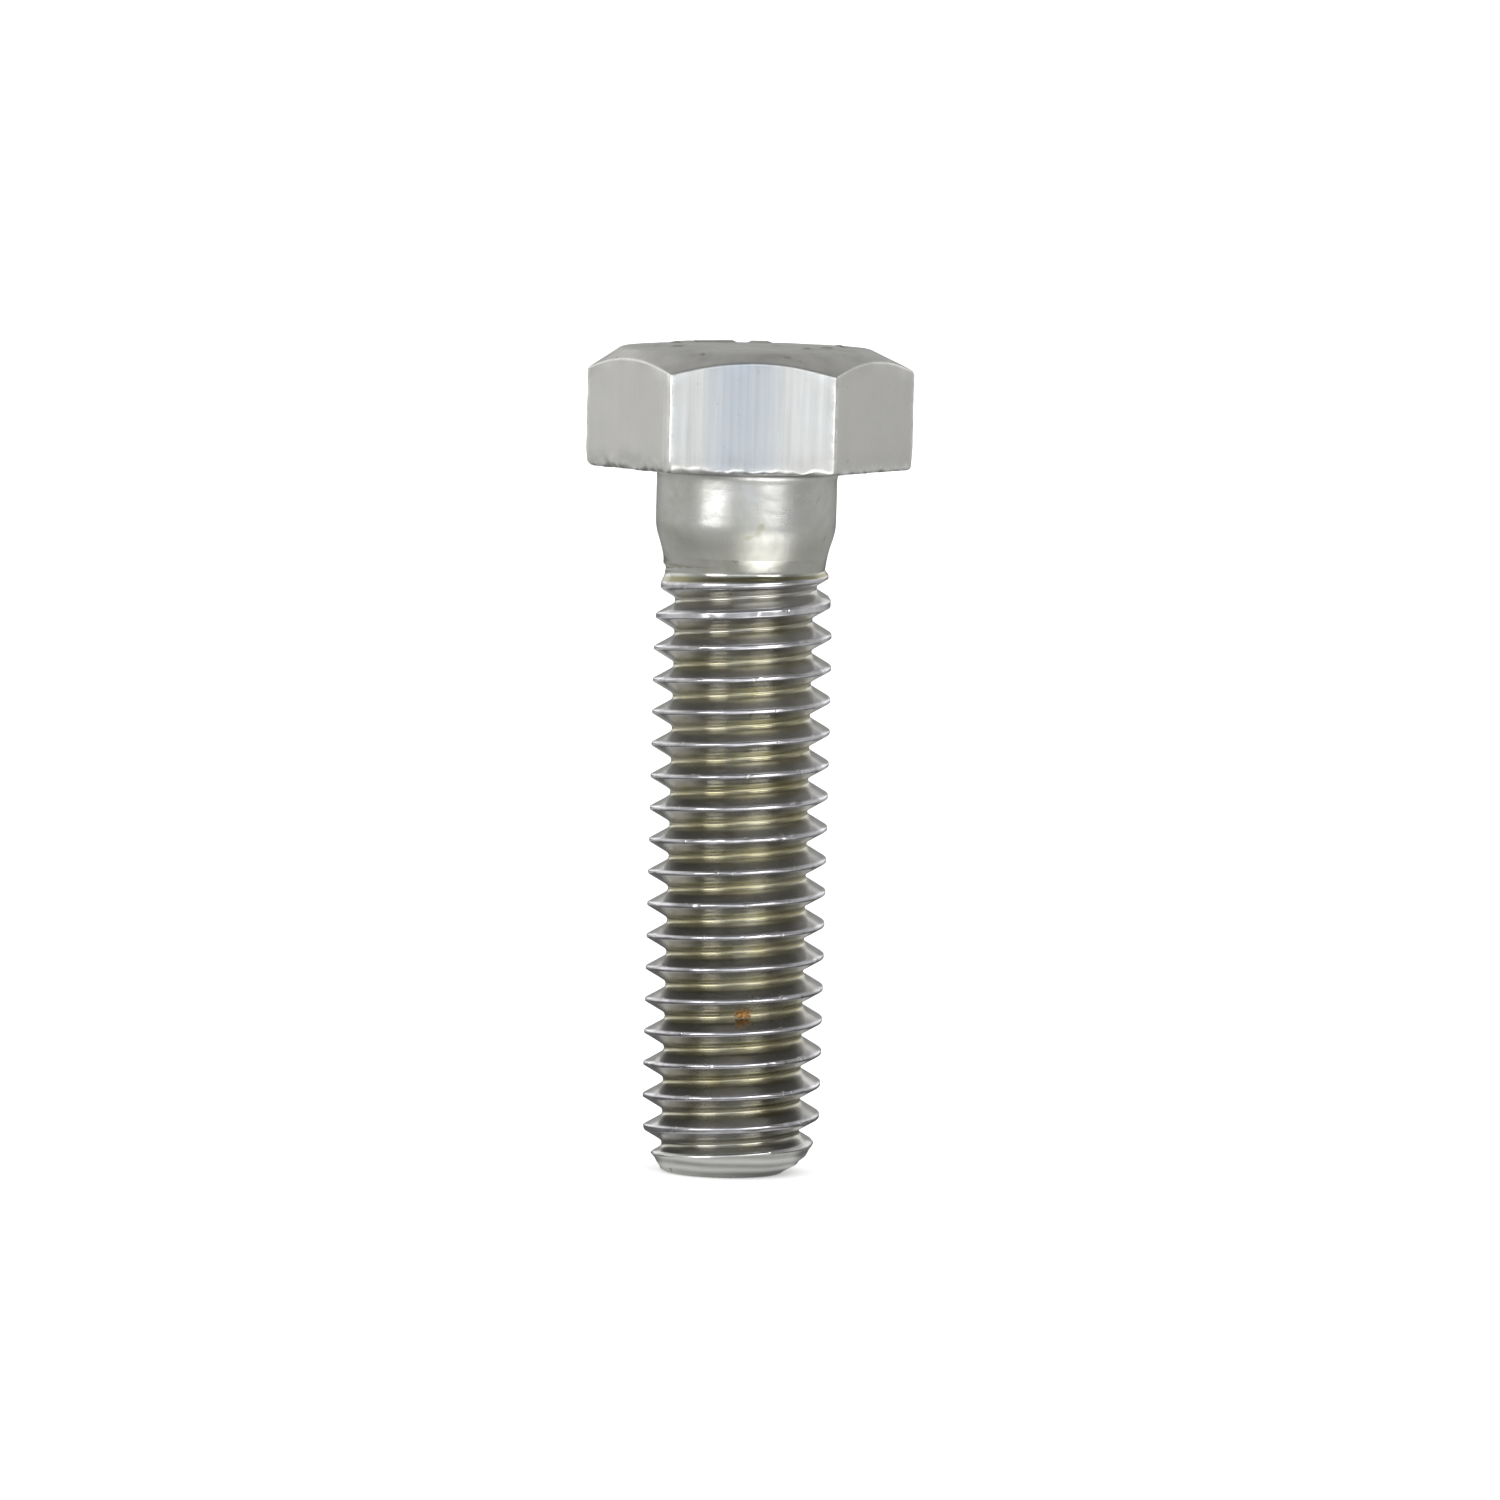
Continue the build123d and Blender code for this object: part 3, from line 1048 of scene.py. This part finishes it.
def makeFloor():
    mesh = bpy.data.meshes.new("floor")
    ring = []
    for i in range(floorSheet["corners"]):
        a = 2 * math.pi * i / floorSheet["corners"]
        ring.append((floorSheet["radius"] * math.cos(a), floorSheet["radius"] * math.sin(a), boltLow.z))
    mesh.from_pydata(ring, [], [tuple(range(len(ring)))])
    floor = bpy.data.objects.new("floor", mesh)
    bpy.context.scene.collection.objects.link(floor)
    material = bpy.data.materials.new("paleFloor")
    material.use_nodes = True
    tree = material.node_tree
    shader = tree.nodes["Principled BSDF"]
    paper = floorSheet["paper"]
    shader.inputs["Base Color"].default_value = (paper, paper, paper, 1)
    shader.inputs["Roughness"].default_value = 0.9
    shader.inputs["Specular IOR Level"].default_value = 0.0
    shader.inputs["Emission Color"].default_value = (1, 1, 1, 1)
    shader.inputs["Emission Strength"].default_value = floorSheet["ownLight"]
    place = tree.nodes.new("ShaderNodeTexCoord").outputs["Object"]
    pool, shade, under, footShade, farShade = (
        patchOn(tree, place, floorSheet[name]) for name in ("pool", "shade", "under", "footShade", "farShade")
    )
    lit = calc(tree, "MINIMUM", calc(tree, "MAXIMUM", under, shade), footShade)
    glow = tree.nodes.new("ShaderNodeEmission")
    glow.inputs["Color"].default_value = (*floorSheet["tone"], 1)
    tree.links.new(times(tree, pool, times(tree, lit, farShade)), glow.inputs["Strength"])
    glossyOr(tree, shader, glow, tree.nodes["Material Output"])
    mesh.materials.append(material)


makeFloor()
print("floor laid at", round(boltEnd, 3))

softLights = [
    {"name": "leftStrip", "azimuth": -43, "elevation": 8,
     "distance": 0.60, "width": 0.32, "height": 0.24, "glow": 3.5, "colour": (1.0, 1.0, 1.0)},
    {"name": "rightStrip", "azimuth": 33, "elevation": 12,
     "distance": 0.60, "width": 0.34, "height": 0.20, "glow": 3.6, "colour": (1.0, 1.0, 1.0)},
    {"name": "frontPanel", "azimuth": -4, "elevation": 6,
     "distance": 0.90, "width": 0.56, "height": 0.36, "glow": 1.02, "colour": (0.84, 0.92, 1.0)},
    {"name": "backLeftStrip", "azimuth": 148, "elevation": 16,
     "distance": 0.70, "width": 0.34, "height": 0.30, "glow": 0.75, "colour": (1.0, 1.0, 1.0)},
    {"name": "backRightStrip", "azimuth": 208, "elevation": 14,
     "distance": 0.70, "width": 0.32, "height": 0.28, "glow": 0.75, "colour": (1.0, 1.0, 1.0)},
]


def makeLight(spec):
    lamp = bpy.data.lights.new(spec["name"], "AREA")
    lamp.shape = "RECTANGLE"
    lamp.size = spec["width"]
    lamp.size_y = spec["height"]
    lamp.energy = spec["glow"] * math.pi * spec["width"] * spec["height"]
    lamp.color = spec["colour"]
    light = bpy.data.objects.new(spec["name"], lamp)
    bpy.context.scene.collection.objects.link(light)
    a, e = math.radians(spec["azimuth"]), math.radians(spec["elevation"])
    centre = Vector((0, 0, (boltLow.z + boltHigh.z) / 2))
    way = Vector((math.sin(a) * math.cos(e), -math.cos(a) * math.cos(e), math.sin(e)))
    light.location = centre + way * spec["distance"]
    light.rotation_mode = "QUATERNION"
    light.rotation_quaternion = (-way).to_track_quat("-Z", "Y")
    light.visible_camera = False


for spec in softLights:
    makeLight(spec)
print("lights:", [spec["name"] for spec in softLights])


# Brightness of the room as the metal sees it: stops of (place, brightness), with place from 0 to 1
room = {
    "upwards": [
        (0.0, 0.45), (0.48, 0.62), (0.52, 0.78), (0.70, 0.78), (0.84, 0.50), (0.93, 0.37), (1.0, 0.32),
    ],
    "backwards": [
        (0.0, 0.40), (0.25, 0.36), (0.40, 0.45), (0.65, 1.0), (0.80, 1.0), (0.925, 0.52), (1.0, 0.36),
    ],
    "left": 1.47,
    "right": 0.86,
    "warmth": 0.985,         # share of blue
    "white": 1.12,           # the plain white that the camera sees
}


def brightnessAlong(tree, value, stops):
    ramp = tree.nodes.new("ShaderNodeValToRGB")
    while len(ramp.color_ramp.elements) < len(stops):
        ramp.color_ramp.elements.new(0.5)
    for element, (at, light) in zip(ramp.color_ramp.elements, stops):
        element.position = at
        element.color = (light, light, light * room["warmth"], 1)
    tree.links.new(mapRange(tree, value, -1.0, 1.0), ramp.inputs[0])
    return ramp.outputs[0]


def makeRoom():
    # Bright walls round the bolt and a darker ceiling
    world = bpy.data.worlds.new("studioRoom")
    bpy.context.scene.world = world
    world.use_nodes = True
    tree = world.node_tree
    tree.nodes.clear()
    output = tree.nodes.new("ShaderNodeOutputWorld")
    axes = axesOf(tree, tree.nodes.new("ShaderNodeTexCoord").outputs["Generated"])
    walls = tree.nodes.new("ShaderNodeBackground")
    tree.links.new(brightnessAlong(tree, axes["Z"], room["upwards"]), walls.inputs["Color"])
    side = mapRange(tree, axes["X"], -1.0, 1.0, room["left"], room["right"])
    depth = brightnessAlong(tree, axes["Y"], room["backwards"])
    tree.links.new(times(tree, side, depth), walls.inputs["Strength"])
    white = tree.nodes.new("ShaderNodeBackground")
    white.inputs["Color"].default_value = (1, 1, 1, 1)
    white.inputs["Strength"].default_value = room["white"]
    glossyOr(tree, white, walls, output)


makeRoom()

# Place and aim are in millimetres, roll in degrees
cameraView = {
    "place": (-8.4386, -454.517, 23.1354),
    "aim": (0.4326, -0.0080, -12.4375),
    "roll": 1.4891,
    "lens": 248.906,
    "sensor": 36.0,
}


def makeCamera():
    data = bpy.data.cameras.new("camera")
    data.sensor_width = cameraView["sensor"]
    data.lens = cameraView["lens"]
    data.clip_start = 0.01
    data.clip_end = 20.0
    camera = bpy.data.objects.new("camera", data)
    bpy.context.scene.collection.objects.link(camera)
    place = Vector(cameraView["place"]) * mm
    ahead = (Vector(cameraView["aim"]) * mm - place).normalized()
    right = ahead.cross(Vector((0, 0, 1))).normalized()
    up = right.cross(ahead)
    r = math.radians(cameraView["roll"])
    rolledRight = right * math.cos(r) + up * math.sin(r)
    rolledUp = up * math.cos(r) - right * math.sin(r)
    turn = Matrix((rolledRight, rolledUp, -ahead)).transposed()
    camera.matrix_world = Matrix.Translation(place) @ turn.to_4x4()
    bpy.context.scene.camera = camera


makeCamera()
bpy.context.scene.view_settings.view_transform = "Standard"
